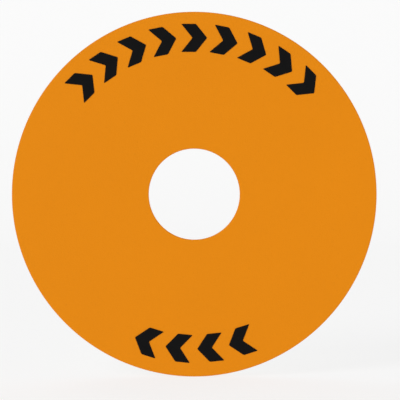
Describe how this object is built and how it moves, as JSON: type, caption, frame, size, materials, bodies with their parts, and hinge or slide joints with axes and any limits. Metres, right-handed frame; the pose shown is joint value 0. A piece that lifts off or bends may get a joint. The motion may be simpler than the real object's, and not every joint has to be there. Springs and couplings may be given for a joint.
{
  "type": "push button legend plate",
  "caption": "Round yellow legend plate for an emergency-stop push button: flat disc with a centre hole, printed marks near the rim, and adhesive under a split peel-off liner on its back.",
  "frame": {"origin": "centre of the hole, in the plane where the adhesive meets the panel", "axes": "the plate stands upright as fitted to a vertical panel: its front faces -Y, +Y goes into the panel, +Z is the top of the legend and +X is to the reader's right"},
  "size_m": [0.09, 0.002, 0.09],
  "materials": {
    "yellow_plastic": "satin",
    "black_ink": "satin",
    "clear_adhesive": "satin",
    "release_paper": "satin"
  },
  "bodies": {
    "plate": {"legend_plate": "yellow_plastic", "upper_mark_1": "black_ink", "upper_mark_2": "black_ink", "upper_mark_3": "black_ink", "upper_mark_4": "black_ink", "upper_mark_5": "black_ink", "upper_mark_6": "black_ink", "upper_mark_7": "black_ink", "upper_mark_8": "black_ink", "upper_mark_9": "black_ink", "lower_mark_1": "black_ink", "lower_mark_2": "black_ink", "lower_mark_3": "black_ink", "lower_mark_4": "black_ink", "adhesive_ring": "clear_adhesive"},
    "left_half": {"liner_left": "release_paper"},
    "right_half": {"liner_right": "release_paper"}
  },
  "joints": [
    {"name": "left_peel", "type": "hinge", "parent": "plate", "child": "left_half", "pos_m": [-0.0445, 0.00017, 0], "axis": [0, 0, 1], "range_deg": [0, 120]},
    {"name": "right_peel", "type": "hinge", "parent": "plate", "child": "right_half", "pos_m": [0.0445, 0.00017, 0], "axis": [0, 0, -1], "range_deg": [0, 120]}
  ]
}
